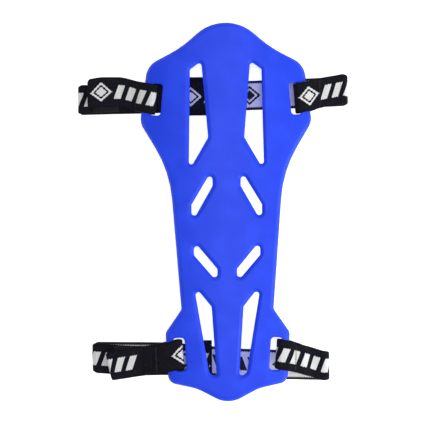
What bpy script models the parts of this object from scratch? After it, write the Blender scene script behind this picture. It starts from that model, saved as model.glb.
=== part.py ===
"""Archery forearm guard: an arched plastic shell with two elastic straps.

Each strap is a short tab sewn round the left bar of the shell and a long band sewn round the right
bar. The band runs out to a fold, back behind the shell, round a second fold and forward under the
tab, where a hook patch on the tab grips a loop patch on the band.

The guard lies face up. X is across it, Y along it with the wide end at +Y, Z out of its face, and
z = 0 is the surface that the bands rest on. Lengths in the code are millimetres, times MM.
"""

import math

import bmesh
import bpy
from mathutils import Matrix, Vector

MM = 0.001
GAP = 0.3  # clearance between pieces that lie on each other
PATCH_GAP = 0.15  # clearance between flat patches and the strap under them

# Shell
ARCH_RADIUS = 130.0
CROWN_HEIGHT = 12.6  # underside of the shell on its centre line
SHELL_THICK = 2.6
ARCH_STRIP = 4.5  # the flat shell is cut into strips this wide before it is arched
SHELL_X = 6.52  # the straps reach further left than right, so the shell stands off centre
FILLET_STEP = math.radians(15)

# Outline of the right half from the top to the bottom: x, y, fillet radius.
OUTLINE = [
    (0.0, 101.5, 22.0),
    (22.5, 82.4, 50.0),
    (39.5, 74.2, 10.0),
    (43.4, 45.3, 9.0),
    (28.5, 20.7, 60.0),
    (23.1, -48.6, 2.5),
    (31.2, -60.4, 4.0),
    (29.9, -85.4, 4.5),
    (15.5, -88.2, 22.0),
    (0.0, -96.2, 13.5),
]

# Vent windows of the right half, mirrored to the left: corners with fillet radii.
WINDOWS = [
    [(12.25, 75.6, 1.3), (17.9, 71.5, 1.2), (18.85, 20.7, 1.2), (9.05, 37.4, 1.5)],
    [(7.05, 21.4, 1.4), (17.65, 3.75, 1.2), (17.65, -5.4, 1.4), (7.05, 13.1, 1.2)],
    [(16.6, -14.4, 1.5), (16.6, -21.4, 1.4), (4.9, -35.0, 1.5), (4.9, -28.4, 1.4)],
    [(16.75, -36.4, 1.4), (9.4, -80.3, 1.2), (5.6, -83.0, 1.3), (8.0, -47.2, 1.2)],
]

# Strap slots: centre x, centre y, width, length, lean of the top towards the centre line.
SLOTS = [
    (34.95, 56.85, 5.5, 16.0, math.radians(5.0)),
    (24.1, -71.1, 6.0, 16.6, math.radians(-4.0)),
]

SLOT_ROUNDING = 0.53  # corner radius as a share of half the width

# Straps
STRAP_WIDTH = 15.0
STRAP_THICK = 1.1
LAYER = STRAP_THICK + GAP  # from the middle of one layer to the middle of the next
REST_Z = STRAP_THICK / 2  # middle of a layer that lies on the table
OVER_BAR = STRAP_THICK / 2 + GAP  # middle of a layer from the bar that it passes round
LOOSEST_TURN = 2.1  # largest bend radius where a strap passes through its slot
TACK_SIZE = (1.3, 12.4, 0.35)
PATCH_THICK = 0.7
PATCH_WIDTH = 13.6
PAD_SIZE = (12.5, 19.6, 0.8)
RUN_STEP = 2.5
ARC_STEP = math.radians(18)
TAB_HINGE_RISE = 1.5  # the tab turns about a line this far over its middle
FOLD_HINGE_OUT = 1.5  # the band turns about a line this many fold radii outside the fold's centre

# How each strap lies. Distances out are from the shell's centre line, and (out, y) pairs give
# the strap's middle line along the shell.
STRAPS = {
    "upper": {
        "bar": (37.7, 42.9),
        "slack": (1.2, 1.8),
        "lean": SLOTS[0][4],
        "tab_seam": 45.0,
        "tab_bend": (48.2, 51.4),
        "tab_end": 69.9,
        "tab_heights": (7.2, 6.9),
        "tab_line": [(36.0, 56.85), (43.0, 58.4), (54.0, 61.2), (62.0, 61.3), (69.9, 60.2)],
        "patch": (54.5, 67.5),
        "front_seam": 47.4,
        "front_heights": (7.4, 6.6),
        "front_line": [(36.0, 56.9), (43.0, 58.4), (47.0, 59.6), (59.1, 62.0)],
        "right_fold": (62.1, 2.4),
        "back_line": [(59.1, 61.1), (34.0, 60.1), (15.0, 59.5), (-34.0, 58.3), (-73.5, 57.6)],
        "left_fold": (75.15, 1.5),
        "flap_height": 2.95,
        "flap_line": [(73.5, 57.6), (45.0, 58.3), (15.0, 58.8), (3.0, 59.0)],
        "flap_end": 4.5,
        "pad_out": (22.0, 59.1),
    },
    "lower": {
        "bar": (27.1, 31.2),
        "slack": (3.5, 1.6),
        "lean": SLOTS[1][4],
        "tab_seam": 35.7,
        "tab_bend": (38.9, 42.1),
        "tab_end": 60.2,
        "tab_heights": (10.6, 9.8),
        "tab_line": [(25.0, -71.2), (32.0, -72.8), (42.0, -74.6), (50.0, -75.8), (60.2, -77.3)],
        "patch": (45.8, 57.3),
        "front_seam": 33.9,
        "front_heights": (10.9, 9.8),
        "front_line": [(25.0, -71.2), (32.0, -72.6), (41.0, -75.6), (48.2, -78.0)],
        "right_fold": (51.6, 2.9),
        "back_line": [(48.2, -78.6), (10.0, -77.4), (-35.0, -73.7), (-66.5, -73.2)],
        "left_fold": (68.7, 2.2),
        "flap_height": 4.6,
        "flap_line": [(66.5, -73.6), (45.0, -75.0), (15.0, -75.1), (3.0, -75.1)],
        "flap_end": 9.0,
        "pad_out": (20.5, -75.0),
    },
}

COLOURS = {
    "shell_blue": ((0.035, 0.085, 0.86), 0.38),
    "strap_black": ((0.012, 0.012, 0.015), 0.85),
    "patch_black": ((0.008, 0.008, 0.010), 0.95),
    "thread_black": ((0.020, 0.020, 0.022), 0.7),
}


def clear_scene():
    for obj in list(bpy.data.objects):
        bpy.data.objects.remove(obj, do_unlink=True)


def material(name):
    colour, roughness = COLOURS[name]
    made = bpy.data.materials.get(name)
    if made is None:
        made = bpy.data.materials.new(name)
        made.use_nodes = True
        shader = made.node_tree.nodes["Principled BSDF"]
        shader.inputs["Base Color"].default_value = (*colour, 1.0)
        shader.inputs["Roughness"].default_value = roughness
        shader.inputs["Metallic"].default_value = 0.0
    return made


def add_object(name, mesh, finish, parent, collection):
    obj = bpy.data.objects.new(name, mesh)
    mesh.materials.append(material(finish))
    collection.objects.link(obj)
    obj.parent = parent
    return obj


def put_origin(obj, point):
    """Moves the object's origin to point, in millimetres, and leaves its shape in place."""
    shift = Vector(point) * MM
    obj.data.transform(Matrix.Translation(-shift))
    obj.location = shift


# Flat outlines


def filleted(corners):
    """The closed polygon with each corner rounded to its radius, as (x, y) points."""
    points = []
    for index, (x, y, radius) in enumerate(corners):
        corner = Vector((x, y))
        before = (Vector(corners[index - 1][:2]) - corner).normalized()
        after = (Vector(corners[(index + 1) % len(corners)][:2]) - corner).normalized()
        half = before.angle(after) / 2
        centre = corner + (before + after).normalized() * (radius / math.sin(half))
        start = corner + before * (radius / math.tan(half)) - centre
        end = corner + after * (radius / math.tan(half)) - centre
        turn = start.angle_signed(end)
        count = max(2, math.ceil(abs(turn) / FILLET_STEP))
        for step in range(count + 1):
            points.append(centre + rotated(start, -turn * step / count))
    return points


def rotated(vector, angle):
    return Matrix.Rotation(angle, 2) @ vector


def mirrored(points):
    return [Vector((-p.x, p.y)) for p in points]


def shell_outline():
    left = [(-x, y, radius) for x, y, radius in reversed(OUTLINE[1:-1])]
    return filleted(OUTLINE + left)


def slot_outline(x, y, width, length, lean):
    half_width, half_length = width / 2, length / 2
    radius = half_width * SLOT_ROUNDING
    box = [
        (-half_width, -half_length, radius),
        (half_width, -half_length, radius),
        (half_width, half_length, radius),
        (-half_width, half_length, radius),
    ]
    return [rotated(p, lean) + Vector((x, y)) for p in filleted(box)]


def shell_holes():
    right = [filleted(window) for window in WINDOWS]
    right += [slot_outline(*slot) for slot in SLOTS]
    return right + [mirrored(hole) for hole in right]


# Shell


def arch_drop(x):
    """How far the shell falls at x from its height on the centre line."""
    return ARCH_RADIUS - math.sqrt(ARCH_RADIUS**2 - x**2)


def under_shell(x):
    return CROWN_HEIGHT - arch_drop(x)


def over_shell(x):
    return under_shell(x) + SHELL_THICK


def flat_plate(loops):
    """A 2D curve of the loops, filled and extruded, as a welded mesh standing on z = 0."""
    curve = bpy.data.curves.new("shell_outline", "CURVE")
    curve.dimensions = "2D"
    curve.fill_mode = "BOTH"
    curve.extrude = SHELL_THICK / 2 * MM
    for loop in loops:
        spline = curve.splines.new("POLY")
        spline.points.add(len(loop) - 1)
        spline.use_cyclic_u = True
        for point, place in zip(spline.points, loop):
            point.co = (place.x * MM, place.y * MM, 0.0, 1.0)
    guide = bpy.data.objects.new("shell_outline", curve)
    bpy.context.scene.collection.objects.link(guide)
    graph = bpy.context.evaluated_depsgraph_get()
    mesh = bpy.data.meshes.new_from_object(guide.evaluated_get(graph))
    bpy.data.objects.remove(guide, do_unlink=True)
    mesh.name = "guard_shell"
    mesh.transform(Matrix.Translation((0, 0, SHELL_THICK / 2 * MM)))
    return mesh


def make_shell(parent, collection):
    mesh = flat_plate([shell_outline()] + shell_holes())
    work = bmesh.new()
    work.from_mesh(mesh)
    bmesh.ops.remove_doubles(work, verts=work.verts, dist=1e-6)
    strips = int(max(x for x, _, _ in OUTLINE) / ARCH_STRIP)
    for index in range(-strips, strips + 1):
        everything = work.verts[:] + work.edges[:] + work.faces[:]
        cut = (index * ARCH_STRIP * MM, 0, 0)
        bmesh.ops.bisect_plane(work, geom=everything, plane_co=cut, plane_no=(1, 0, 0), dist=1e-7)
    bmesh.ops.triangulate(work, faces=work.faces[:])
    for vertex in work.verts:
        vertex.co.z += under_shell(vertex.co.x / MM) * MM
    bmesh.ops.recalc_face_normals(work, faces=work.faces)
    work.to_mesh(mesh)
    work.free()
    return add_object("guard_shell", mesh, "shell_blue", parent, collection)


# Strap paths: lists of (x, z), with x positive out from the shell's centre line


def arc(x, z, radius, first, last):
    """Points round (x, z) between two angles in degrees, measured from +x towards +z."""
    turn = math.radians(last - first)
    count = max(2, math.ceil(abs(turn) / ARC_STEP))
    angles = [math.radians(first) + turn * step / count for step in range(count + 1)]
    return [(x + radius * math.cos(a), z + radius * math.sin(a)) for a in angles]


def slopes(keys):
    """A slope for each key, level at a peak or a dip, so that a curve never overshoots a key."""
    steps = [(zb - za) / (xb - xa) for (xa, za), (xb, zb) in zip(keys, keys[1:])]
    middle = [2 * a * b / (a + b) if a * b > 0 else 0.0 for a, b in zip(steps, steps[1:])]
    return [steps[0], *middle, steps[-1]]


def between(pairs, place):
    """The value at place on a smooth line through (place, value) pairs, level beyond its ends."""
    keys = sorted(pairs)
    place = min(max(place, keys[0][0]), keys[-1][0])
    index = max(i for i, (x, _) in enumerate(keys[:-1]) if x <= place)
    (a, low), (b, high) = keys[index], keys[index + 1]
    leave, arrive = [slope * (b - a) for slope in slopes(keys)[index : index + 2]]
    t = (place - a) / (b - a)
    value = low * (2 * t**3 - 3 * t**2 + 1) + high * (3 * t**2 - 2 * t**3)
    return value + leave * (t**3 - 2 * t**2 + t) + arrive * (t**3 - t**2)


def smooth_run(keys):
    """A smooth line through (x, z) keys that all go one way, with a point about every RUN_STEP."""
    points = []
    for (start, _), (end, _) in zip(keys, keys[1:]):
        count = max(1, round(abs(end - start) / RUN_STEP))
        places = [start + (end - start) * step / count for step in range(count)]
        points += [(place, between(keys, place)) for place in places]
    return points + [tuple(keys[-1])]


def round_bar(strap, seam, tail, heights, slack):
    """From the tail's end, under the bar, up through the slot and over the bar to the seam."""
    inner, outer = strap["bar"]
    seam_height, tail_height = heights
    under = [(x, under_shell(x) - OVER_BAR * 1.05) for x in (outer + 0.1, inner + 1.0)]
    over = [(x, over_shell(x) + OVER_BAR * 1.05) for x in (inner + 1.0, outer)]
    tail_keys = [(tail, tail_height - LAYER), (seam, seam_height - LAYER), *under]
    radius = min(OVER_BAR + slack, LOOSEST_TURN)
    turn_x = inner - OVER_BAR - slack + radius
    lower_corner = arc(turn_x, under_shell(inner) - OVER_BAR + radius, radius, 270, 180)
    upper_corner = arc(turn_x, over_shell(inner) + OVER_BAR - radius, radius, 180, 90)
    seam_keys = [*over, (seam, seam_height), (tail, tail_height)]
    return smooth_run(tail_keys) + lower_corner + upper_corner + smooth_run(seam_keys)


def tab_path(strap):
    """The whole tab, from the end of its turned-back tail to its free end."""
    tail = strap["tab_seam"] + 2.0
    start = round_bar(strap, strap["tab_seam"], tail, strap["tab_heights"], strap["slack"][0])
    lying = strap["flap_height"] + STRAP_THICK + 2 * PATCH_THICK + 3 * PATCH_GAP
    first, last = strap["patch"]
    rest = [start[-1], (first - 0.5, lying), ((first + last) / 2, lying), (strap["tab_end"], lying)]
    return start + smooth_run(rest)[1:]


def front_path(strap):
    """The band from the end of its tail, round the bar, to the top of the right fold."""
    tail = strap["front_seam"] + 4.0
    start = round_bar(strap, strap["front_seam"], tail, strap["front_heights"], strap["slack"][1])
    reach, radius = strap["right_fold"]
    fold_x = reach - radius - STRAP_THICK / 2
    top = REST_Z + 2 * radius
    slope_keys = [start[-1], ((start[-1][0] + fold_x) / 2, top + 0.25), (fold_x, top)]
    return start + smooth_run(slope_keys)[1:]


def back_path(strap):
    """The band from the bottom of the right fold, behind the shell, to its free end."""
    reach, radius = strap["right_fold"]
    left_reach, left_radius = strap["left_fold"]
    start = (reach - radius - STRAP_THICK / 2, REST_Z)
    fold_x = -(left_reach - left_radius - STRAP_THICK / 2)
    under = smooth_run([start, ((start[0] + fold_x) / 2, REST_Z), (fold_x, REST_Z)])
    turn = arc(fold_x, REST_Z + left_radius, left_radius, 270, 90)
    first, last = strap["patch"]
    pad_height = REST_Z + STRAP_THICK + 2 * PATCH_GAP + PAD_SIZE[2]
    flap = [turn[-1], (-last, strap["flap_height"]), (-first, strap["flap_height"])]
    flap += [(-strap["pad_out"][0] - 3.0, pad_height), (-strap["flap_end"], pad_height)]
    return under[:-1] + turn + smooth_run(flap)[1:]


# Strap solids


def bar_direction(strap, x):
    """A unit vector along the leaning bar near it, turning to straight along the shell further out."""
    outer = strap["bar"][1]
    lean = between([(outer, strap["lean"]), (outer + 6.0, 0.0)], abs(x))
    fall = abs(x) / math.sqrt(ARCH_RADIUS**2 - x**2)
    side = math.copysign(1.0, x)
    return Vector((-side * math.sin(lean), math.cos(lean), math.sin(lean) * fall)).normalized()


def ribbon(name, path, line, side, strap, parent, collection):
    """A strap piece that passes round a bar. side is -1 on the left and 1 on the right."""
    middle = [Vector((side * x, between(line, x), z)) for x, z in path]
    across = [bar_direction(strap, point.x) for point in middle]
    return strip(name, middle, across, STRAP_WIDTH, STRAP_THICK, "strap_black", parent, collection)


def strip(name, middle, across, width, thick, finish, parent, collection):
    """A strip along the points in middle: an open surface, thickened to both sides."""
    mesh = bpy.data.meshes.new(name)
    work = bmesh.new()
    rows = []
    for point, direction in zip(middle, across):
        edges = [point + direction * width / 2, point - direction * width / 2]
        rows.append([work.verts.new(edge * MM) for edge in edges])
    for (a, b), (c, d) in zip(rows, rows[1:]):
        work.faces.new((a, b, d, c))
    work.to_mesh(mesh)
    work.free()
    obj = add_object(name, mesh, finish, parent, collection)
    solid = obj.modifiers.new("thickness", "SOLIDIFY")
    solid.thickness = thick * MM
    solid.offset = 0.0
    solid.use_even_offset = True
    return obj


def plain_strip(name, middle, width, thick, finish, parent, collection):
    across = [Vector((0, 1, 0))] * len(middle)
    return strip(name, middle, across, width, thick, finish, parent, collection)


def cut_path(path, first, last):
    """The stretch of a path that runs outward between two distances out, with new points there."""
    points = []
    for (xa, za), (xb, zb) in zip(path, path[1:]):
        if xb <= xa:
            continue
        for limit in (first, last):
            if xa < limit <= xb:
                points.append((limit, za + (zb - za) * (limit - xa) / (xb - xa)))
        if first < xb < last:
            points.append((xb, zb))
    return sorted(set(points))


def box(name, size, centre, finish, parent, collection, turn=0.0):
    """A box of size millimetres at centre, turned about Z."""
    mesh = bpy.data.meshes.new(name)
    work = bmesh.new()
    bmesh.ops.create_cube(work, size=1.0)
    scale = Matrix.Diagonal((*[length * MM for length in size], 1.0))
    place = Matrix.Translation(Vector(centre) * MM) @ Matrix.Rotation(turn, 4, "Z")
    bmesh.ops.transform(work, matrix=place @ scale, verts=work.verts)
    work.to_mesh(mesh)
    work.free()
    return add_object(name, mesh, finish, parent, collection)


def raised(run, rise):
    """The run with each point moved up, so that the two lines stay rise apart on a slope as well."""
    steps = [(zb - za) / (xb - xa) for (xa, za), (xb, zb) in zip(run, run[1:])]
    steepest = [max(map(abs, pair)) for pair in zip([0.0, *steps], [*steps, 0.0])]
    return [(x, z + rise * math.hypot(1.0, slope)) for (x, z), slope in zip(run, steepest)]


def height_at(path, place):
    """The highest z of an outward path at a distance out."""
    found = [
        za + (zb - za) * (place - xa) / (xb - xa)
        for (xa, za), (xb, zb) in zip(path, path[1:])
        if min(xa, xb) <= place <= max(xa, xb) and xa != xb
    ]
    return max(found)


def on_strap(name, points, line, side, strap, span, size, finish, parent, collection):
    """A thin strip that lies on a strap between two distances out, over it or, if thick < 0, under."""
    width, thick = size
    rise = math.copysign(STRAP_THICK / 2 + PATCH_GAP + abs(thick) / 2, thick)
    run = raised(cut_path(points, *span), rise)
    middle = [Vector((side * x, between(line, x), z)) for x, z in run]
    across = [bar_direction(strap, point.x) for point in middle]
    return strip(name, middle, across, width, abs(thick), finish, parent, collection)


def bar_tack(name, path, seam, line, side, strap, parent, collection):
    """The rows of stitches that close a loop, standing on the strap's upper layer."""
    length, width, thick = TACK_SIZE
    span = (seam - length / 2, seam + length / 2)
    size = (width, thick)
    return on_strap(name, path, line, side, strap, span, size, "thread_black", parent, collection)


def make_tab(side_name, strap, parent, collection):
    path = tab_path(strap)
    line = strap["tab_line"]
    bend_start, bend_end = strap["tab_bend"]
    turn_x = (bend_start + bend_end) / 2
    pivot = (-turn_x, between(line, turn_x), height_at(path, turn_x) + TAB_HINGE_RISE)

    split = max(i for i, (x, _) in enumerate(path) if x < bend_start - 0.5)
    loop = path[: split + 1] + cut_path(path[split:], bend_start, bend_start)
    ribbon(f"{side_name}_tab_loop", loop, line, -1, strap, parent, collection)
    bend = cut_path(path, bend_start + GAP, bend_end - GAP)
    ribbon(f"{side_name}_tab_bend", bend, line, -1, strap, parent, collection)
    free = cut_path(path, bend_end, strap["tab_end"])
    tab = ribbon(f"{side_name}_tab", free, line, -1, strap, parent, collection)
    put_origin(tab, pivot)

    name, span = f"{side_name}_tab_hook_patch", strap["patch"]
    size = (PATCH_WIDTH, -PATCH_THICK)
    hooks = on_strap(name, path, line, -1, strap, span, size, "patch_black", parent, collection)
    put_origin(hooks, pivot)
    name = f"{side_name}_tab_bar_tack"
    bar_tack(name, path, strap["tab_seam"], line, -1, strap, parent, collection)


def make_band(side_name, strap, parent, collection):
    front = front_path(strap)
    line = strap["front_line"]
    reach, radius = strap["right_fold"]
    fold_x, fold_z = reach - radius - STRAP_THICK / 2, REST_Z + radius
    pivot = (fold_x + FOLD_HINGE_OUT * radius, between(line, fold_x), fold_z)

    front[-1] = (fold_x - GAP, front[-1][1])
    ribbon(f"{side_name}_band_front", front, line, 1, strap, parent, collection)
    name = f"{side_name}_band_bar_tack"
    bar_tack(name, front, strap["front_seam"], line, 1, strap, parent, collection)

    top_y, bottom_y = between(line, fold_x), between(strap["back_line"], fold_x)
    drop = (top_y - bottom_y) / (2 * radius)
    turn = arc(fold_x, fold_z, radius, 90, -90)
    middle = [Vector((x, bottom_y + drop * (z - REST_Z), z)) for x, z in turn]
    name = f"{side_name}_band_bend"
    plain_strip(name, middle, STRAP_WIDTH, STRAP_THICK, "strap_black", parent, collection)

    back = back_path(strap)
    back[0] = (fold_x - GAP, REST_Z)
    middle = [Vector((x, back_y(strap, x, z), z)) for x, z in back]
    name = f"{side_name}_band_back"
    band = plain_strip(name, middle, STRAP_WIDTH, STRAP_THICK, "strap_black", parent, collection)
    put_origin(band, pivot)

    flap = [(-x, z) for x, z in reversed(back) if z > REST_Z + strap["left_fold"][1]]
    name, size = f"{side_name}_band_loop_patch", (PATCH_WIDTH, PATCH_THICK)
    over, span = strap["flap_line"], strap["patch"]
    loops = on_strap(name, flap, over, -1, strap, span, size, "patch_black", parent, collection)
    put_origin(loops, pivot)

    pad_left, pad_y = strap["pad_out"]
    pad_z = STRAP_THICK + PATCH_GAP + PAD_SIZE[2] / 2
    centre = (-pad_left + PAD_SIZE[0] / 2, pad_y, pad_z)
    pad = box(f"{side_name}_band_end_pad", PAD_SIZE, centre, "patch_black", parent, collection)
    put_origin(pad, pivot)


def back_y(strap, x, z):
    """The middle of the band along the shell: one line behind the shell, another for the flap."""
    under, over = between(strap["back_line"], x), between(strap["flap_line"], -x)
    rise = (z - REST_Z) / (2 * strap["left_fold"][1])
    share = min(max(rise, 0.0), 1.0) if x < -strap["flap_end"] - 40.0 else float(rise > 0.01)
    return under + (over - under) * share


def main():
    clear_scene()
    collection = bpy.data.collections.new("archery_forearm_guard")
    bpy.context.scene.collection.children.link(collection)
    frame = bpy.data.objects.new("guard_centre_line", None)
    frame.location = (SHELL_X * MM, 0, 0)
    collection.objects.link(frame)
    make_shell(frame, collection)
    for side_name, strap in STRAPS.items():
        make_tab(side_name, strap, frame, collection)
        make_band(side_name, strap, frame, collection)


main()
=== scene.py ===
"""Archery forearm guard: a moulded blue shell with two patterned elastic straps, seen from above.

Lengths are millimetres in the code, times MM. X is across the guard, Y along it and Z out of
its face. The shell's outlines and the straps' lines count X from the shell's centre line,
which is at SHELL_X.
"""

import math

import bpy
import numpy as np
from mathutils import Matrix, Vector
from mathutils.geometry import delaunay_2d_cdt


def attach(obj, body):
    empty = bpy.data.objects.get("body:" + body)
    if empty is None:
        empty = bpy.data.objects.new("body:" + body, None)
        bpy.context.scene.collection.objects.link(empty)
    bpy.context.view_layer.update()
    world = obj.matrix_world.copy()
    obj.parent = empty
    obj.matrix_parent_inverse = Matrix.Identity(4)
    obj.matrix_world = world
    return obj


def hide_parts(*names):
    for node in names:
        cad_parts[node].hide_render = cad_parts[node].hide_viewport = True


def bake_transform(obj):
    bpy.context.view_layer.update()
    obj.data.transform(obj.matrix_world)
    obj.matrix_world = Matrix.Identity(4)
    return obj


MM = 0.001
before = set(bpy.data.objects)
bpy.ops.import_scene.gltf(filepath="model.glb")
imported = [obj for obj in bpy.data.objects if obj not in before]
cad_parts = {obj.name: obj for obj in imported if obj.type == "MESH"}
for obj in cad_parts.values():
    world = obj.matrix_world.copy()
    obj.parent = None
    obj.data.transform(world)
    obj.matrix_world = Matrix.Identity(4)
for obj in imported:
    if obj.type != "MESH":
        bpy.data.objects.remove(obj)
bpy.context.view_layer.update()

# Shell
SHELL_X = 6.52
ARCH_RADIUS = 130.0
CROWN_HEIGHT = 12.6
SHELL_THICK = 2.6
OUTLINE = [
    (0.0, 101.5, 22.0),
    (22.5, 82.4, 50.0),
    (39.5, 74.2, 10.0),
    (43.4, 45.3, 9.0),
    (28.5, 20.7, 60.0),
    (23.1, -48.6, 2.5),
    (31.2, -60.4, 4.0),
    (29.9, -85.4, 4.5),
    (15.5, -88.2, 22.0),
    (0.0, -96.2, 13.5),
]
WINDOWS = [
    [(12.25, 75.6, 1.3), (17.9, 71.5, 1.2), (18.85, 20.7, 1.2), (9.05, 37.4, 1.5)],
    [(7.05, 21.4, 1.4), (17.65, 3.75, 1.2), (17.65, -5.4, 1.4), (7.05, 13.1, 1.2)],
    [(16.6, -14.4, 1.5), (16.6, -21.4, 1.4), (4.9, -35.0, 1.5), (4.9, -28.4, 1.4)],
    [(16.75, -36.4, 1.4), (9.4, -80.3, 1.2), (5.6, -83.0, 1.3), (8.0, -47.2, 1.2)],
]
SLOTS = [
    (34.95, 56.85, 5.5, 16.0, math.radians(5.0)),
    (24.1, -71.1, 6.0, 16.6, math.radians(-4.0)),
]
SLOT_ROUNDING = 0.62
EDGE_BAND = (2.2, 1.5)  # rounded edge: its width, and how far it falls
SLOT_BAND = (0.9, 0.4)
BACK_BAND = (0.6, 0.3)
RINGS = (0.2, 0.4, 0.6, 0.8, 1.0)  # rows of points across the edge, as shares of its width
RIM = 0.15

# Straps
STRAP_WIDTH = 15.0
STRAP_THICK = 1.1
GAP = 0.3
LAYER = STRAP_THICK + GAP
REST_Z = STRAP_THICK / 2
OVER_BAR = STRAP_THICK / 2 + GAP
LOOSEST_TURN = 2.1
PATCH_GAP = 0.15
PATCH_THICK = 0.7
PAD_SIZE = (12.5, 19.6, 0.8)
RUN_STEP = 0.7
ARC_STEP = math.radians(9)
STRAP_EDGE = 0.55  # how far in from its edge a strap is rounded
SEAM_REACH = 2.0  # how far to each side a seam puckers the strap
BLEND_MARGIN = 0.7  # how far past a bend's ends its own piece of strap goes
FOLD_OVERLAP = 2  # points of the path that the fold's piece takes from its neighbours
STRAPS = {
    "upper": {
        "bar": (37.7, 42.9),
        "slack": (1.2, 1.8),
        "lean": SLOTS[0][4],
        "tab_seam": 45.0,
        "tab_bend": (48.2, 51.4),
        "tab_end": 69.9,
        "tab_heights": (7.2, 6.9),
        "tab_line": [(36.0, 56.85), (43.0, 58.4), (54.0, 61.2), (62.0, 61.3), (69.9, 60.2)],
        "patch": (54.5, 67.5),
        "front_seam": 47.4,
        "front_heights": (7.4, 6.6),
        "front_line": [(36.0, 56.9), (43.0, 58.4), (47.0, 59.6), (59.1, 62.0)],
        "right_fold": (62.1, 2.4),
        "back_line": [(59.1, 61.1), (34.0, 60.1), (15.0, 59.5), (-34.0, 58.3), (-73.5, 57.6)],
        "left_fold": (75.15, 1.5),
        "flap_height": 2.95,
        "flap_line": [(73.5, 57.6), (45.0, 58.3), (15.0, 58.8), (3.0, 59.0)],
        "flap_end": 4.5,
        "pad_out": (22.0, 59.1),
        "tab_start": (67.9, 0.0),
        "band_start": (36.4, 0.0),
        "tab_cut": 0.0,
        "pucker": 0.10,
    },
    "lower": {
        "bar": (27.1, 31.2),
        "slack": (3.5, 1.6),
        "lean": SLOTS[1][4],
        "tab_seam": 35.7,
        "tab_bend": (38.9, 42.1),
        "tab_end": 60.2,
        "tab_heights": (10.6, 9.8),
        "tab_line": [(25.0, -71.2), (32.0, -72.8), (42.0, -74.6), (50.0, -75.8), (60.2, -77.3)],
        "patch": (45.8, 57.3),
        "front_seam": 33.9,
        "front_heights": (10.9, 9.8),
        "front_line": [(25.0, -71.2), (32.0, -72.6), (41.0, -75.6), (48.2, -78.0)],
        "right_fold": (51.6, 2.9),
        "back_line": [(48.2, -78.6), (10.0, -77.4), (-35.0, -73.7), (-66.5, -73.2)],
        "left_fold": (68.7, 2.2),
        "flap_height": 4.6,
        "flap_line": [(66.5, -73.6), (45.0, -75.0), (15.0, -75.1), (3.0, -75.1)],
        "flap_end": 9.0,
        "pad_out": (20.5, -75.0),
        "tab_start": (27.5, 0.0),
        "band_start": (43.0, 44.0),
        "tab_cut": 1.3,
        "pucker": 0.30,
    },
}

# Woven pattern, along the strap
REPEAT = 72.8
LOZENGE = (5.6, 5.6, 4.9)  # centre along, half length, half height
BARS = (33.2, 20.0, 6.0)  # centre of the bars along, half their extent, their own repeat
BAR_WIDTH = 3.5
BAR_HEIGHT = 3.5
BAR_SLANT = 0.36
PICK = 0.62  # spacing of the picks along the strap
WARP = 0.85  # spacing of the warp threads across the strap

# Stitches, a zigzag of thread across the strap
THREAD_RADIUS = 0.16
STITCH_HALF = 6.1  # half the length of the row
STITCH_POINTS = 31
STITCH_SWAY = 0.42

# Finish of the cloths, as inputs of the surface shader
CLOTH = {"Specular_IOR_Level": 0.05, "Sheen_Weight": 0.02, "Sheen_Roughness": 0.5}
LIGHT_CLOTH = {"Specular_IOR_Level": 0.15, "Sheen_Weight": 0.05, "Sheen_Roughness": 0.5}
PILE = {"Specular_IOR_Level": 0.12, "Sheen_Weight": 0.08, "Sheen_Roughness": 0.6}

# Camera
LENS = 100.0
SENSOR = 36.0
CAMERA_PLACE = (-0.61, -0.15, 603.3)
CAMERA_ROLL = math.radians(-0.45)


# Small shader builder


class Nodes:
    """Adds shader nodes and links them. A value that isn't a socket is set as the input's own."""

    def __init__(self, name):
        self.material = bpy.data.materials.new(name)
        self.material.use_nodes = True
        self.tree = self.material.node_tree
        self.shader = self.tree.nodes["Principled BSDF"]

    def add(self, kind, inputs=(), **settings):
        node = self.tree.nodes.new(kind)
        for key, value in settings.items():
            setattr(node, key, value)
        for key, value in dict(inputs).items():
            self.put(node.inputs[key], value)
        return node

    def put(self, socket, value):
        if isinstance(value, bpy.types.NodeSocket):
            self.tree.links.new(value, socket)
        else:
            socket.default_value = value

    def math(self, operation, *values):
        node = self.add("ShaderNodeMath", enumerate(values), operation=operation)
        return node.outputs[0]

    def step(self, value, low, high):
        """0 where value is under low, 1 over high, smooth between."""
        inputs = {"Value": value, "From Min": low, "From Max": high}
        return self.add("ShaderNodeMapRange", inputs, interpolation_type="SMOOTHSTEP").outputs[0]

    def mix(self, share, first, second):
        node = self.add("ShaderNodeMix", data_type="RGBA")
        self.put(node.inputs["Factor"], share)
        for key, value in (("A", first), ("B", second)):
            socket = [s for s in node.inputs if s.name == key and s.type == "RGBA"][0]
            self.put(socket, value if isinstance(value, bpy.types.NodeSocket) else (*value, 1.0))
        return [s for s in node.outputs if s.type == "RGBA"][0]

    def noise(self, place, scale, detail=2.0, roughness=0.5):
        inputs = {"Vector": place, "Scale": scale, "Detail": detail, "Roughness": roughness}
        return self.add("ShaderNodeTexNoise", inputs).outputs["Fac"]

    def scaled(self, place, factors):
        inputs = {0: place, 1: factors}
        node = self.add("ShaderNodeVectorMath", inputs, operation="MULTIPLY")
        return node.outputs[0]

    def position(self):
        """The point in millimetres, in the object's own space."""
        return self.scaled(self.add("ShaderNodeTexCoord").outputs["Object"], (1000.0,) * 3)

    def bump(self, height, distance, below=None):
        inputs = {"Height": height, "Distance": distance * MM, "Strength": 1.0}
        node = self.add("ShaderNodeBump", inputs)
        if below is not None:
            self.put(node.inputs["Normal"], below)
        return node.outputs[0]

    def finish(self, colour, roughness, normal=None, **fixed):
        self.put(self.shader.inputs["Base Color"], colour)
        self.put(self.shader.inputs["Roughness"], roughness)
        if normal is not None:
            self.put(self.shader.inputs["Normal"], normal)
        for key, value in fixed.items():
            self.shader.inputs[key.replace("_", " ")].default_value = value
        return self.material


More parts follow.
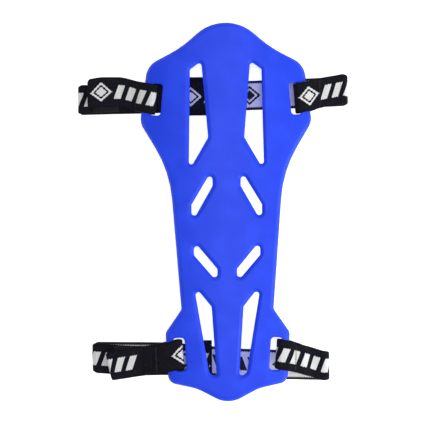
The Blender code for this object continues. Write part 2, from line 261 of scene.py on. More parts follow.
def shell_plastic():
    n = Nodes("moulded_blue_plastic")
    place = n.position()
    cloud = n.noise(place, 0.09, 4.0)
    grain = n.noise(place, 1.9, 4.0, 0.6)
    fine = n.noise(place, 6.0, 2.0)
    colour = n.mix(n.step(cloud, 0.35, 0.68), (0.0135, 0.058, 0.84), (0.0190, 0.070, 0.92))
    scuff = n.noise(n.scaled(place, (0.35, 0.06, 0.35)), 1.0, 5.0, 0.65)
    worn = n.math("MULTIPLY", n.step(scuff, 0.60, 0.78), 0.10)
    colour = n.mix(worn, colour, (0.06, 0.14, 0.95))
    roughness = n.math("MULTIPLY_ADD", grain, 0.16, 0.38)
    height = n.math("MULTIPLY_ADD", fine, 0.4, grain)
    return n.finish(colour, roughness, n.bump(height, 0.018), Specular_IOR_Level=0.20)


def strap_axes(n):
    """How far along and across the strap a point is, in millimetres."""
    uv = n.add("ShaderNodeUVMap", uv_map="strap").outputs[0]
    parts = n.add("ShaderNodeSeparateXYZ", {0: uv}).outputs
    return uv, parts[0], parts[1]


def motif_distance(n, uv, along, across):
    """Millimetres to the woven motif's edge, less than 0 inside it."""
    ripple = n.math("ABSOLUTE", n.math("SINE", n.math("MULTIPLY", along, math.pi / 1.25)))
    stray = n.noise(uv, 1.3, 1.0)
    wave = n.math("MULTIPLY_ADD", ripple, 0.34, n.math("MULTIPLY_ADD", stray, 0.5, -0.45))
    high = n.math("ADD", n.math("ABSOLUTE", across), wave)
    turn = n.math("WRAP", along, REPEAT, 0.0)

    middle, half_long, half_high = LOZENGE
    out = n.math("DIVIDE", n.math("ABSOLUTE", n.math("SUBTRACT", turn, middle)), half_long)
    up = n.math("DIVIDE", high, half_high)
    lozenge = n.math("MULTIPLY", n.math("SUBTRACT", n.math("ADD", out, up), 1.0), 3.7)
    for depth, half in ((1.35, 0.40), (2.70, 0.30)):
        ring = n.math("ABSOLUTE", n.math("ADD", lozenge, depth))
        lozenge = n.math("MAXIMUM", lozenge, n.math("SUBTRACT", half, ring))

    centre, extent, pitch = BARS
    leant = n.math("SUBTRACT", turn, n.math("MULTIPLY", across, BAR_SLANT))
    cell = n.math("WRAP", n.math("SUBTRACT", leant, centre - extent), pitch, 0.0)
    middle_gap = n.math("ABSOLUTE", n.math("SUBTRACT", cell, BAR_WIDTH / 2))
    bars = n.math("SUBTRACT", middle_gap, BAR_WIDTH / 2)
    bars = n.math("MAXIMUM", bars, n.math("SUBTRACT", high, BAR_HEIGHT))
    zone = n.math("SUBTRACT", n.math("ABSOLUTE", n.math("SUBTRACT", leant, centre)), extent)
    return n.math("MINIMUM", lozenge, n.math("MAXIMUM", bars, zone))


def ribs(n, along, across, pitch_along, pitch_across):
    """A woven relief from 0 to 1, from picks across the strap and warp threads along it."""
    picks = n.math("SINE", n.math("MULTIPLY", along, 2 * math.pi / pitch_along))
    offset = n.math("MULTIPLY", picks, 0.12)
    warp = n.math("ADD", n.math("MULTIPLY", across, 2 * math.pi / pitch_across), offset)
    both = n.math("MULTIPLY_ADD", n.math("SINE", warp), 0.5, n.math("MULTIPLY", picks, 0.5))
    return n.math("MULTIPLY_ADD", both, 0.5, 0.5)


def strap_outer():
    """The strap's dark face, with its white woven motif."""
    n = Nodes("strap_dark_face")
    uv, along, across = strap_axes(n)
    edge = motif_distance(n, uv, along, across)
    white = n.step(edge, 0.10, -0.10)
    near = n.math("MULTIPLY", n.step(edge, 0.75, 0.35), n.step(edge, -0.05, 0.15))
    relief = ribs(n, along, across, PICK, WARP)
    heather = n.noise(n.scaled(uv, (1.6, 0.7, 1.0)), 1.0, 4.0, 0.7)
    patchy = n.noise(n.scaled(uv, (0.12, 0.22, 1.0)), 1.0, 2.0)
    ground = n.mix(n.step(heather, 0.36, 0.70), (0.0024, 0.0024, 0.0042), (0.0170, 0.0170, 0.0240))
    ground = n.mix(n.step(patchy, 0.40, 0.65), ground, (0.0075, 0.0070, 0.0145))
    ground = n.mix(n.math("MULTIPLY", relief, 0.22), ground, (0.020, 0.020, 0.026))
    ground = n.mix(n.math("MULTIPLY", near, 0.85), ground, (0.003, 0.003, 0.005))
    selvedge = n.step(n.math("ABSOLUTE", across), 6.8, 7.2)
    ground = n.mix(n.math("MULTIPLY", selvedge, 0.85), ground, (0.004, 0.004, 0.006))
    yarn = n.mix(n.math("MULTIPLY", relief, 0.6), (0.60, 0.60, 0.61), (0.93, 0.93, 0.93))
    colour = n.mix(white, ground, yarn)
    height = n.math("MULTIPLY_ADD", white, 0.8, relief)
    fuzz = n.noise(uv, 3.2, 3.0, 0.7)
    normal = n.bump(fuzz, 0.05, n.bump(height, 0.085))
    return n.finish(colour, 0.86, normal, **CLOTH)


def strap_inner():
    """The strap's light face, with the same motif in black and a black edge to each side."""
    n = Nodes("strap_light_face")
    uv, along, across = strap_axes(n)
    edge = motif_distance(n, uv, along, across)
    dark = n.step(edge, 0.12, -0.12)
    leant = n.math("ADD", along, n.math("MULTIPLY", across, 0.8))
    twill = n.math("MULTIPLY", leant, 2 * math.pi / 0.95)
    rib = n.math("MULTIPLY_ADD", n.math("SINE", twill), 0.5, 0.5)
    half_rib = n.math("MULTIPLY", rib, 0.5)
    relief = n.math("MULTIPLY_ADD", ribs(n, along, across, PICK, WARP), 0.5, half_rib)
    speck = n.noise(n.scaled(uv, (1.4, 1.4, 1.0)), 1.0, 3.0, 0.6)
    light = n.mix(relief, (0.60, 0.59, 0.54), (0.93, 0.92, 0.85))
    light = n.mix(n.math("MULTIPLY", n.step(speck, 0.52, 0.75), 0.40), light, (0.40, 0.40, 0.39))
    teeth = n.math("PINGPONG", along, 0.62)
    border = n.math("ADD", n.math("ABSOLUTE", across), n.math("MULTIPLY", teeth, 0.8))
    black = n.math("MAXIMUM", dark, n.step(border, 6.25, 6.45))
    ink = n.mix(relief, (0.006, 0.006, 0.009), (0.030, 0.030, 0.036))
    colour = n.mix(black, light, ink)
    fuzz = n.noise(uv, 3.2, 3.0, 0.7)
    normal = n.bump(fuzz, 0.05, n.bump(relief, 0.10))
    return n.finish(colour, 0.88, normal, **LIGHT_CLOTH)


def black_webbing():
    n = Nodes("plain_black_webbing")
    place = n.position()
    parts = n.add("ShaderNodeSeparateXYZ", {0: place}).outputs
    relief = ribs(n, parts[0], parts[1], 0.7, 0.9)
    heather = n.noise(place, 1.1, 4.0, 0.7)
    ground = n.mix(n.step(heather, 0.35, 0.7), (0.0030, 0.0030, 0.0045), (0.011, 0.011, 0.015))
    colour = n.mix(n.math("MULTIPLY", relief, 0.3), ground, (0.018, 0.018, 0.022))
    return n.finish(colour, 0.9, n.bump(relief, 0.08), **CLOTH)


def pile(name, scale, depth, light):
    n = Nodes(name)
    place = n.position()
    curls = n.noise(place, scale, 5.0, 0.75)
    colour = n.mix(n.step(curls, 0.35, 0.72), (0.004, 0.004, 0.005), light)
    return n.finish(colour, 0.95, n.bump(curls, depth), **PILE)


def thread():
    n = Nodes("black_thread")
    place = n.position()
    twist = n.noise(place, 4.0, 2.0)
    colour = n.mix(twist, (0.010, 0.010, 0.012), (0.050, 0.050, 0.056))
    return n.finish(colour, 0.6, n.bump(twist, 0.05), Specular_IOR_Level=0.25)


def floor_paper():
    n = Nodes("pale_floor")
    place = n.position()
    cloud = n.noise(place, 0.004, 2.0)
    colour = n.mix(cloud, (0.90, 0.90, 0.90), (0.93, 0.93, 0.93))
    n.shader.inputs["Emission Color"].default_value = (1.0, 1.0, 1.0, 1.0)
    return n.finish(colour, 0.9, Emission_Strength=0.68)


# Outlines, as in the moulding's drawing


def rotated(vector, angle):
    return Matrix.Rotation(angle, 2) @ vector


def filleted(corners, step=math.radians(7.5)):
    points = []
    for index, (x, y, radius) in enumerate(corners):
        corner = Vector((x, y))
        before = (Vector(corners[index - 1][:2]) - corner).normalized()
        after = (Vector(corners[(index + 1) % len(corners)][:2]) - corner).normalized()
        half = before.angle(after) / 2
        centre = corner + (before + after).normalized() * (radius / math.sin(half))
        start = corner + before * (radius / math.tan(half)) - centre
        end = corner + after * (radius / math.tan(half)) - centre
        turn = start.angle_signed(end)
        count = max(3, math.ceil(abs(turn) / step))
        for k in range(count + 1):
            points.append(centre + rotated(start, -turn * k / count))
    return np.array([tuple(p) for p in points])


def resampled(loop, spacing):
    """The closed loop with extra points, so that no side is longer than spacing."""
    points = []
    for start, end in zip(loop, np.roll(loop, -1, axis=0)):
        count = max(1, math.ceil(np.linalg.norm(end - start) / spacing))
        points += [start + (end - start) * k / count for k in range(count)]
    points = np.array(points)
    apart = np.linalg.norm(points - np.roll(points, 1, axis=0), axis=1) > 0.02
    return points[apart]


def area(loop):
    after = np.roll(loop, -1, axis=0)
    return 0.5 * np.sum(loop[:, 0] * after[:, 1] - loop[:, 1] * after[:, 0])


def offset_loop(loop, distance):
    """The loop moved to its left by distance, which is inward on a loop that runs anticlockwise."""
    ahead = np.roll(loop, -1, axis=0) - loop
    ahead /= np.linalg.norm(ahead, axis=1)[:, None]
    normal = np.stack([-ahead[:, 1], ahead[:, 0]], axis=1)
    mean = normal + np.roll(normal, 1, axis=0)
    mean /= np.linalg.norm(mean, axis=1)[:, None]
    stretch = np.clip(np.sum(mean * normal, axis=1), 0.5, 1.0)
    return loop + mean * (distance / stretch)[:, None]


def slot_loop(x, y, width, length, lean):
    half_width, half_length = width / 2, length / 2
    radius = half_width * SLOT_ROUNDING
    box = [
        (-half_width, -half_length, radius),
        (half_width, -half_length, radius),
        (half_width, half_length, radius),
        (-half_width, half_length, radius),
    ]
    turn = np.array([[math.cos(lean), -math.sin(lean)], [math.sin(lean), math.cos(lean)]])
    return filleted(box) @ turn.T + np.array([x, y])


def into_material(loop, hole):
    """The loop turned so that the plastic is on its left."""
    loop = resampled(loop, 1.6)
    anticlockwise = area(loop) > 0
    return loop[::-1] if anticlockwise == hole else loop


def shell_loops():
    """The outline, windows and slots, each with the shape of its edge band."""
    left = [(-x, y, r) for x, y, r in reversed(OUTLINE[1:-1])]
    loops = [(into_material(filleted(OUTLINE + left), False), EDGE_BAND, False)]
    holes = [(filleted(window), EDGE_BAND) for window in WINDOWS]
    holes += [(slot_loop(*slot), SLOT_BAND) for slot in SLOTS]
    for hole, band in holes:
        for mirror in (1, -1):
            loops.append((into_material(hole * np.array([mirror, 1]), True), band, True))
    return loops


def distance_to(points, loop):
    """Each point's distance to the closed loop."""
    start, end = loop, np.roll(loop, -1, axis=0)
    along = end - start
    length = np.sum(along**2, axis=1)
    found = np.empty(len(points))
    for first in range(0, len(points), 2000):
        some = points[first : first + 2000]
        to = some[:, None, :] - start[None]
        share = np.clip(np.sum(to * along[None], axis=2) / length[None], 0, 1)
        gap = to - share[..., None] * along[None]
        found[first : first + 2000] = np.sqrt(np.sum(gap**2, axis=2).min(axis=1))
    return found


def inside(points, loop):
    crossings = np.zeros(len(points), int)
    for (xa, ya), (xb, yb) in zip(loop, np.roll(loop, -1, axis=0)):
        spans = (ya > points[:, 1]) != (yb > points[:, 1])
        if not spans.any():
            continue
        cut = xa + (points[:, 1] - ya) * (xb - xa) / (yb - ya if yb != ya else 1.0)
        crossings += spans & (points[:, 0] < cut)
    return crossings % 2 == 1


# Shell


def arch_drop(x):
    return ARCH_RADIUS - np.sqrt(ARCH_RADIUS**2 - x**2)


def under_shell(x):
    return CROWN_HEIGHT - arch_drop(x)


def over_shell(x):
    return under_shell(x) + SHELL_THICK


def band_drop(distance, band):
    """How far the face falls at a distance from the edge, ever more steeply towards it."""
    width, drop = band
    return drop * np.clip(1 - distance / width, 0, 1) ** 2


def face_height(points, loops):
    drop = np.zeros(len(points))
    for loop, band, _ in loops:
        drop = np.maximum(drop, band_drop(distance_to(points, loop), band))
    return over_shell(points[:, 0]) - drop


def back_height(points, loops):
    rise = np.zeros(len(points))
    for loop, _, _ in loops:
        rise = np.maximum(rise, band_drop(distance_to(points, loop), BACK_BAND))
    return under_shell(points[:, 0]) + rise


def slope_normals(points, loops, height, sign):
    step = 0.05
    across, along = np.array([step, 0.0]), np.array([0.0, step])
    dx = (height(points + across, loops) - height(points - across, loops)) / (2 * step)
    dy = (height(points + along, loops) - height(points - along, loops)) / (2 * step)
    normal = np.stack([-dx, -dy, np.ones(len(points))], axis=1) * sign
    return normal / np.linalg.norm(normal, axis=1)[:, None]


def face_triangles(loops):
    """Flat points and triangles that cover the plastic, with rings along every edge band."""
    points, edges = [], []
    for loop, (width, _), _ in loops:
        for depth in (RIM, *(width * share for share in RINGS)):
            ring = offset_loop(loop, depth)
            first = len(points)
            points += ring.tolist()
            edges += [(first + k, first + (k + 1) % len(ring)) for k in range(len(ring))]
    rims = [offset_loop(loop, RIM) for loop, _, _ in loops]
    reach = np.abs(loops[0][0]).max(axis=0)
    columns = np.arange(-reach[0], reach[0], 1.8)
    rows = np.arange(-reach[1], reach[1], 2.4)
    grid = np.array([(x, y) for x in columns for y in rows])
    keep = inside(grid, rims[0])
    for loop, (width, _), hole in loops:
        keep &= distance_to(grid, loop) > width + 1.0
        if hole:
            keep &= ~inside(grid, loop)
    points += grid[keep].tolist()
    coords = [Vector(p) for p in points]
    found = delaunay_2d_cdt(coords, edges, [], 0, 1e-4)
    flat = np.array([tuple(v) for v in found[0]])
    triangles = np.array([f for f in found[2]])
    middles = flat[triangles].mean(axis=1)
    keep = inside(middles, rims[0])
    for rim, (_, _, hole) in zip(rims, loops):
        if hole:
            keep &= ~inside(middles, rim)
    triangles = triangles[keep]
    a, b, c = (flat[triangles[:, k]] for k in range(3))
    turned = (b - a)[:, 0] * (c - a)[:, 1] - (b - a)[:, 1] * (c - a)[:, 0] < 0
    triangles[turned] = triangles[turned][:, ::-1]
    used = np.unique(triangles)
    index = np.full(len(flat), -1)
    index[used] = np.arange(len(used))
    return flat[used], index[triangles]


def rim_edges(triangles):
    """The open sides of the triangulation, each in its triangle's direction."""
    sides = np.concatenate([triangles[:, [0, 1]], triangles[:, [1, 2]], triangles[:, [2, 0]]])
    seen = {tuple(side) for side in sides.tolist()}
    return [side for side in seen if (side[1], side[0]) not in seen]


def make_shell(finish):
    loops = shell_loops()
    flat, triangles = face_triangles(loops)
    count = len(flat)
    top = np.column_stack([flat, face_height(flat, loops)])
    low = np.column_stack([flat, back_height(flat, loops)])
    top_normals = slope_normals(flat, loops, face_height, 1)
    low_normals = slope_normals(flat, loops, back_height, -1)
    sides = rim_edges(triangles)
    follow = {a: b for a, b in sides}
    before = {b: a for a, b in sides}
    edge = sorted(follow)
    wall = {v: 2 * count + k for k, v in enumerate(edge)}
    out = []
    for v in edge:
        way = flat[follow[v]] - flat[before[v]]
        way /= np.linalg.norm(way)
        out.append((way[1], -way[0]))
    out = np.array(out)
    rim = flat[edge] + out * RIM
    high_wall = np.column_stack([rim, top[edge, 2] - RIM])
    low_wall = np.column_stack([rim, low[edge, 2] + RIM])
    wall_normals = np.column_stack([out, np.zeros(len(out))])
    verts = np.concatenate([top, low, high_wall, low_wall])
    normals = np.concatenate([top_normals, low_normals, wall_normals, wall_normals])
    faces = triangles.tolist() + (triangles[:, ::-1] + count).tolist()
    for a, b in sides:
        ta, tb, ua, ub = wall[a], wall[b], wall[a] + len(edge), wall[b] + len(edge)
        faces += [[b, a, ta, tb], [tb, ta, ua, ub], [ub, ua, a + count, b + count]]
    verts[:, 0] += SHELL_X
    mesh = bpy.data.meshes.new("shell")
    mesh.from_pydata((verts * MM).tolist(), [], faces)
    mesh.polygons.foreach_set("use_smooth", [True] * len(mesh.polygons))
    mesh.normals_split_custom_set_from_vertices(normals.tolist())
    mesh.materials.append(finish)
    shell = bpy.data.objects.new("shell", mesh)
    bpy.context.scene.collection.objects.link(shell)
    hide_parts("guard_shell")
    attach(shell, "guard")


# Strap paths, as in the CAD but finer


def arc(x, z, radius, first, last):
    turn = math.radians(last - first)
    count = max(2, math.ceil(abs(turn) / ARC_STEP))
    angles = [math.radians(first) + turn * step / count for step in range(count + 1)]
    return [(x + radius * math.cos(a), z + radius * math.sin(a)) for a in angles]


def slopes(keys):
    steps = [(zb - za) / (xb - xa) for (xa, za), (xb, zb) in zip(keys, keys[1:])]
    middle = [2 * a * b / (a + b) if a * b > 0 else 0.0 for a, b in zip(steps, steps[1:])]
    return [steps[0], *middle, steps[-1]]


def between(pairs, place):
    keys = sorted(pairs)
    place = min(max(place, keys[0][0]), keys[-1][0])
    index = max(i for i, (x, _) in enumerate(keys[:-1]) if x <= place)
    (a, low), (b, high) = keys[index], keys[index + 1]
    leave, arrive = [slope * (b - a) for slope in slopes(keys)[index : index + 2]]
    t = (place - a) / (b - a)
    value = low * (2 * t**3 - 3 * t**2 + 1) + high * (3 * t**2 - 2 * t**3)
    return value + leave * (t**3 - 2 * t**2 + t) + arrive * (t**3 - t**2)


def smooth_run(keys):
    points = []
    for (start, _), (end, _) in zip(keys, keys[1:]):
        count = max(1, round(abs(end - start) / RUN_STEP))
        places = [start + (end - start) * step / count for step in range(count)]
        points += [(place, between(keys, place)) for place in places]
    return points + [tuple(keys[-1])]


def round_bar(strap, seam, tail, heights, slack):
    inner, outer = strap["bar"]
    seam_height, tail_height = heights
    under = [(x, under_shell(x) - OVER_BAR * 1.05) for x in (outer + 0.1, inner + 1.0)]
    over = [(x, over_shell(x) + OVER_BAR * 1.05) for x in (inner + 1.0, outer)]
    tail_keys = [(tail, tail_height - LAYER), (seam, seam_height - LAYER), *under]
    radius = min(OVER_BAR + slack, LOOSEST_TURN)
    turn_x = inner - OVER_BAR - slack + radius
    lower_corner = arc(turn_x, under_shell(inner) - OVER_BAR + radius, radius, 270, 180)
    upper_corner = arc(turn_x, over_shell(inner) + OVER_BAR - radius, radius, 180, 90)
    seam_keys = [*over, (seam, seam_height), (tail, tail_height)]
    return smooth_run(tail_keys) + lower_corner + upper_corner + smooth_run(seam_keys)


def tab_path(strap):
    tail = strap["tab_seam"] + 2.0
    start = round_bar(strap, strap["tab_seam"], tail, strap["tab_heights"], strap["slack"][0])
    lying = strap["flap_height"] + STRAP_THICK + 2 * PATCH_THICK + 3 * PATCH_GAP
    first, last = strap["patch"]
    rest = [start[-1], (first - 0.5, lying), ((first + last) / 2, lying), (strap["tab_end"], lying)]
    return start + smooth_run(rest)[1:]


def band_path(strap):
    """The whole band from its tail to its free end, and where its right fold starts and ends."""
    tail = strap["front_seam"] + 4.0
    start = round_bar(strap, strap["front_seam"], tail, strap["front_heights"], strap["slack"][1])
    reach, radius = strap["right_fold"]
    fold_x = reach - radius - STRAP_THICK / 2
    top = REST_Z + 2 * radius
    slope_keys = [start[-1], ((start[-1][0] + fold_x) / 2, top + 0.25), (fold_x, top)]
    front = start + smooth_run(slope_keys)[1:]
    turn = arc(fold_x, REST_Z + radius, radius, 90, -90)
    left_reach, left_radius = strap["left_fold"]
    left_x = -(left_reach - left_radius - STRAP_THICK / 2)
    under = smooth_run([turn[-1], ((fold_x + left_x) / 2, REST_Z), (left_x, REST_Z)])
    left = arc(left_x, REST_Z + left_radius, left_radius, 270, 90)
    first, last = strap["patch"]
    pad_height = REST_Z + STRAP_THICK + 2 * PATCH_GAP + PAD_SIZE[2]
    flap = [left[-1], (-last, strap["flap_height"]), (-first, strap["flap_height"])]
    flap += [(-strap["pad_out"][0] - 3.0, pad_height), (-strap["flap_end"], pad_height)]
    path = front + turn[1:] + under[1:] + left[1:] + smooth_run(flap)[1:]
    return path, len(front) - 1, len(front) + len(turn) - 2


def bar_direction(strap, x):
    outer = strap["bar"][1]
    lean = between([(outer, strap["lean"]), (outer + 6.0, 0.0)], abs(x))
    fall = abs(x) / math.sqrt(ARCH_RADIUS**2 - x**2)
    side = math.copysign(1.0, x)
    return Vector((-side * math.sin(lean), math.cos(lean), math.sin(lean) * fall)).normalized()


# Straps


class Ribbon:
    """A strap's middle line, with its directions across and out of its dark face, point by point."""

    def __init__(self, points, across, side, way):
        self.points = np.array(points, float)
        self.across = np.array([tuple(a) for a in across])
        ahead = np.gradient(self.points, axis=0)
        out = np.cross(ahead, self.across) * side
        self.out = out / np.linalg.norm(out, axis=1)[:, None]
        steps = np.linalg.norm(np.diff(self.points, axis=0), axis=1)
        self.run = np.concatenate([[0.0], np.cumsum(steps)])
        self.flip = side > 0
        self.way = way  # 1 if the pattern runs along the path, and -1 if it runs against it
        self.phase = 0.0
        self.half = np.full(len(self.points), STRAP_WIDTH / 2)
        self.swell = np.ones(len(self.points))
        self.lift = lambda index, s: 0.0

    def start_pattern(self, index, value):
        """Puts the pattern's distance value at the indexed point."""
        self.phase = value - self.way * self.run[index]

    def section(self):
        """Distances across, from -1 to 1, and the share of full thickness at each."""
        edge = STRAP_EDGE / (STRAP_WIDTH / 2)
        rim = [1.0, 1 - edge * 0.12, 1 - edge * 0.4, 1 - edge]
        inner = np.linspace(-(1 - edge), 1 - edge, 19)[1:-1]
        places = np.concatenate([-np.array(rim), inner, np.array(rim[::-1])])
        depth = np.clip((np.abs(places) - (1 - edge)) / edge, 0, 1)
        return places, np.sqrt(np.maximum(0, 1 - depth**2))

    def mesh(self, name, first, last, finishes, skew=0.0):
        places, thick = self.section()
        middle = range(1, len(places) - 1)
        verts, uvs = [], []
        for i in range(first, last + 1):
            top, low = [], []
            for j, place in enumerate(places):
                s = place * self.half[i]
                slide = 0.0
                if skew and i > last - 14:
                    slide = skew * place * (i - last + 14) / 14
                base = self.points[i] + self.across[i] * s + self.out[i] * self.lift(i, s)
                ahead = self.points[min(i + 1, len(self.points) - 1)] - self.points[max(i - 1, 0)]
                base = base + ahead / np.linalg.norm(ahead) * slide
                rise = self.out[i] * (STRAP_THICK / 2 * thick[j] * self.swell[i])
                along = self.phase + self.way * self.run[i]
                top.append((base + rise, along, s))
                low.append((base - rise, along, s))
            ring = top + [low[j] for j in reversed(middle)]
            verts += [p for p, _, _ in ring]
            uvs += [(u, v) for _, u, v in ring]
        size = 2 * len(places) - 2
        faces, slots = [], []
        for row in range(last - first):
            for k in range(size):
                a, b = row * size + k, row * size + (k + 1) % size
                faces.append((a, b, b + size, a + size))
                slots.append(0 if k < len(places) - 1 else 1)
        ends = [tuple(reversed(range(size))), tuple(range(len(verts) - size, len(verts)))]
        faces += ends
        slots += [0, 0]
        if self.flip:
            faces = [face[::-1] for face in faces]
        mesh = bpy.data.meshes.new(name)
        placed = np.array(verts) + np.array([SHELL_X, 0, 0])
        mesh.from_pydata((placed * MM).tolist(), [], faces)
        mesh.polygons.foreach_set("use_smooth", [len(face) == 4 for face in faces])
        mesh.polygons.foreach_set("material_index", slots)
        layer = mesh.uv_layers.new(name="strap")
        loops = np.empty(len(mesh.loops), np.int32)
        mesh.loops.foreach_get("vertex_index", loops)
        layer.data.foreach_set("uv", np.array(uvs)[loops].ravel())
        for finish in finishes:
            mesh.materials.append(finish)
        obj = bpy.data.objects.new(name, mesh)
        bpy.context.scene.collection.objects.link(obj)
        return obj


def squeeze_ends(ribbon, index, step, radius=1.4):
    """Rounds the corners of a cut end and thins its last millimetre."""
    reach = abs(ribbon.run - ribbon.run[index])
    for i in range(index, index + step * 8, step):
        depth = reach[i]
        if depth < radius:
            ribbon.half[i] -= radius - math.sqrt(radius**2 - (radius - depth) ** 2)
        ribbon.swell[i] = min(1.0, 0.62 + 0.6 * depth)


def ease(value):
    value = min(max(value, 0.0), 1.0)
    return value * value * (3 - 2 * value)


def seam_lift(ribbon, seam, depth):
    """Ripples across the strap beside its seam, and a gentle wave along the rest."""

    def lift(index, s):
        run = ribbon.run[index]
        value = 0.05 * math.sin(run / 5.3 + s / 4.1) + 0.04 * math.sin(run / 2.9 - s / 2.3)
        near = math.exp(-(((run - ribbon.run[seam]) / SEAM_REACH) ** 2))
        value += depth * near * math.sin(2 * math.pi * s / 3.9 + 0.6)
        return value * ease((run - 2.0) / 2.0)

    return lift


def over_bar(path, count):
    """The index at which the strap, out of its slot, starts to run outward."""
    return min(range(count), key=lambda index: path[index][0])


def first_past(path, start, x):
    return next(index for index in range(start, len(path)) if path[index][0] >= x)


def make_tab(side_name, strap, finishes):
    path = tab_path(strap)
    points = [(-x, between(strap["tab_line"], x), z) for x, z in path]
    across = [bar_direction(strap, p[0]) for p in points]
    ribbon = Ribbon(points, across, -1, -1)
    count = len(points)
    start = over_bar(path, count)
    bend_start = first_past(path, start, strap["tab_bend"][0] - BLEND_MARGIN)
    bend_end = first_past(path, start, strap["tab_bend"][1] + BLEND_MARGIN)
    seam_index = first_past(path, start, strap["tab_seam"])
    place, value = strap["tab_start"]
    ribbon.start_pattern(first_past(path, start, place), value)
    squeeze_ends(ribbon, count - 1, -1)
    squeeze_ends(ribbon, 0, 1, 0.6)
    ribbon.lift = seam_lift(ribbon, seam_index, strap["pucker"])
    loop = ribbon.mesh(f"{side_name}_tab_loop_webbing", 0, bend_start, finishes)
    bend = ribbon.mesh(f"{side_name}_tab_bend_webbing", bend_start, bend_end, finishes)
    skew = strap["tab_cut"]
    tab = ribbon.mesh(f"{side_name}_tab_webbing", bend_end, count - 1, finishes, skew)
    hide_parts(f"{side_name}_tab_loop")
    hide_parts(f"{side_name}_tab_bend")
    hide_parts(f"{side_name}_tab")
    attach(loop, "guard")
    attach(tab, f"{side_name}_tab")
    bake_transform(bend)
    return ribbon, seam_index


def make_band(side_name, strap, finishes):
    path, fold_start, fold_end = band_path(strap)
    radius = strap["right_fold"][1]
    left_reach, left_radius = strap["left_fold"]
    left_x = -(left_reach - left_radius - STRAP_THICK / 2)
    points = []
    top_y = between(strap["front_line"], path[fold_start][0])
    low_y = between(strap["back_line"], path[fold_end][0])
    for i, (x, z) in enumerate(path):
        if i <= fold_start:
            y = between(strap["front_line"], x)
        elif i <= fold_end:
            y = low_y + (top_y - low_y) * (z - REST_Z) / (2 * radius)
        else:
            under, over = between(strap["back_line"], x), between(strap["flap_line"], -x)
            rise = (z - REST_Z) / (2 * left_radius)
            share = min(max(rise, 0.0), 1.0) if x < left_x + 0.01 else float(rise > 0.01)
            y = under + (over - under) * share
        points.append((x, y, z))
    across = []
    for i, point in enumerate(points):
        wrapped = i < fold_start and point[0] < strap["bar"][1] + 7
        across.append(bar_direction(strap, point[0]) if wrapped else Vector((0, 1, 0)))
    ribbon = Ribbon(points, across, 1, 1)
    count = len(points)
    start = over_bar(path, fold_start)
    place, value = strap["band_start"]
    ribbon.start_pattern(first_past(path, start, place), value)
    for i in range(fold_start, fold_end + 1):
        turn = math.pi * (i - fold_start) / (fold_end - fold_start)
        ribbon.half[i] -= 0.45 * math.sin(turn) ** 2
    for i in range(fold_end, count):
        if points[i][0] < left_x:
            ribbon.half[i] -= 0.7 * ease((left_x - points[i][0]) / left_radius)
    squeeze_ends(ribbon, count - 1, -1, 0.7)
    squeeze_ends(ribbon, 0, 1, 0.6)
    seam_index = first_past(path, start, strap["front_seam"])
    ribbon.lift = seam_lift(ribbon, seam_index, strap["pucker"] * 0.6)
    first, last = fold_start - FOLD_OVERLAP, fold_end + FOLD_OVERLAP
    front = ribbon.mesh(f"{side_name}_band_front_webbing", 0, first, finishes)
    bend = ribbon.mesh(f"{side_name}_band_fold_webbing", first, last, finishes)
    back = ribbon.mesh(f"{side_name}_band_back_webbing", last, count - 1, finishes)
    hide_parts(f"{side_name}_band_front")
    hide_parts(f"{side_name}_band_bend")
    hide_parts(f"{side_name}_band_back")
    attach(front, "guard")
    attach(back, f"{side_name}_band")
    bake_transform(bend)
    return ribbon, seam_index


def stitches(name, ribbon, index, node, finish):
    """A zigzag row of thread across the strap over its seam."""
    curve = bpy.data.curves.new(name, "CURVE")
    curve.dimensions = "3D"
    curve.bevel_depth = THREAD_RADIUS * MM
    curve.bevel_resolution = 2
    spline = curve.splines.new("POLY")
    places = np.linspace(-STITCH_HALF, STITCH_HALF, STITCH_POINTS)
    spline.points.add(len(places) - 1)
    ahead = ribbon.points[index + 1] - ribbon.points[index]
    ahead = ahead / np.linalg.norm(ahead)
    for k, (point, s) in enumerate(zip(spline.points, places)):
        sway = STITCH_SWAY if k % 2 else -STITCH_SWAY
        rise = STRAP_THICK / 2 + 0.05 + ribbon.lift(index, s)
        place = ribbon.points[index] + ribbon.across[index] * s + ribbon.out[index] * rise
        point.co = (*((place + ahead * sway + np.array([SHELL_X, 0, 0])) * MM), 1.0)
    obj = bpy.data.objects.new(name, curve)
    bpy.context.scene.collection.objects.link(obj)
    curve.materials.append(finish)
    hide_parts(node)
    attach(obj, "guard")


def patch(name, node, body, finish):
    """A flat piece in the frame's own shape, with its edges rounded."""
    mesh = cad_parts[node].data.copy()
    mesh.name = name
    obj = bpy.data.objects.new(name, mesh)
    bpy.context.scene.collection.objects.link(obj)
    mesh.materials.clear()
    mesh.materials.append(finish)
    weld = obj.modifiers.new("weld", "WELD")
    weld.merge_threshold = 1e-6
    bevel = obj.modifiers.new("edge", "BEVEL")
    bevel.width = 0.22 * MM
    bevel.segments = 3
    bevel.limit_method = "ANGLE"
    bevel.angle_limit = math.radians(50)
    mesh.polygons.foreach_set("use_smooth", [True] * len(mesh.polygons))
    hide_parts(node)
    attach(obj, body)


def add_light(name, place, size, power):
    data = bpy.data.lights.new(name, "AREA")
    data.shape = "DISK"
    data.size = size
    data.energy = power
    obj = bpy.data.objects.new(name, data)
    obj.location = place
    obj.rotation_euler = (-Vector(place)).to_track_quat("-Z", "Y").to_euler()
    bpy.context.scene.collection.objects.link(obj)


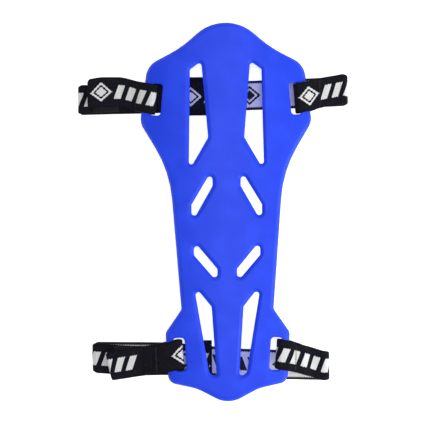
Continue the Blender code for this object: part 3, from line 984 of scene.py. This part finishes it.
def studio():
    bpy.context.scene.view_settings.view_transform = "Standard"
    mesh = bpy.data.meshes.new("floor")
    reach = 3.0
    corners = [(-reach, -reach, 0), (reach, -reach, 0), (reach, reach, 0), (-reach, reach, 0)]
    mesh.from_pydata(corners, [], [(0, 1, 2, 3)])
    mesh.materials.append(floor_paper())
    floor = bpy.data.objects.new("floor", mesh)
    floor.location.z = -0.0002
    bpy.context.scene.collection.objects.link(floor)
    world = bpy.data.worlds.new("studio")
    world.use_nodes = True
    tree = world.node_tree
    background = tree.nodes["Background"]
    background.inputs[0].default_value = (1.0, 1.0, 1.0, 1.0)
    way = tree.nodes.new("ShaderNodeTexCoord")
    parts = tree.nodes.new("ShaderNodeSeparateXYZ")
    fade = tree.nodes.new("ShaderNodeMapRange")
    fade.interpolation_type = "SMOOTHSTEP"
    for name, value in (("From Min", 0.13), ("From Max", 0.34), ("To Min", 0.95), ("To Max", 0.20)):
        fade.inputs[name].default_value = value
    tree.links.new(way.outputs["Generated"], parts.inputs[0])
    tree.links.new(parts.outputs["Z"], fade.inputs["Value"])
    tree.links.new(fade.outputs[0], background.inputs[1])
    bpy.context.scene.world = world
    add_light("overhead", (0.05, 0.05, 1.05), 0.6, 4.6)
    add_light("right_side", (0.70, -0.32, 0.42), 0.45, 5.2)
    add_light("far_fill", (-0.5, 0.6, 0.7), 0.6, 0.7)


def camera():
    data = bpy.data.cameras.new("camera")
    data.lens = LENS
    data.sensor_width = SENSOR
    obj = bpy.data.objects.new("camera", data)
    obj.location = Vector(CAMERA_PLACE) * MM
    obj.rotation_euler = (0.0, 0.0, CAMERA_ROLL)
    bpy.context.scene.collection.objects.link(obj)
    bpy.context.scene.camera = obj


camera()
studio()
make_shell(shell_plastic())
WEBBING = [strap_outer(), strap_inner()]
THREAD = thread()
HOOKS = pile("hook_tape", 2.4, 0.25, (0.030, 0.030, 0.034))
LOOPS = pile("loop_tape", 3.6, 0.30, (0.022, 0.022, 0.026))
PLAIN = black_webbing()
for side, strap in STRAPS.items():
    tab, tab_seam = make_tab(side, strap, WEBBING)
    stitches(f"{side}_tab_stitches", tab, tab_seam, f"{side}_tab_bar_tack", THREAD)
    band, band_seam = make_band(side, strap, WEBBING)
    stitches(f"{side}_band_stitches", band, band_seam, f"{side}_band_bar_tack", THREAD)
    patch(f"{side}_hook_tape", f"{side}_tab_hook_patch", f"{side}_tab", HOOKS)
    patch(f"{side}_loop_tape", f"{side}_band_loop_patch", f"{side}_band", LOOPS)
    webbing, pad = f"{side}_end_pad_webbing", f"{side}_band_end_pad"
    patch(webbing, pad, f"{side}_band", PLAIN)
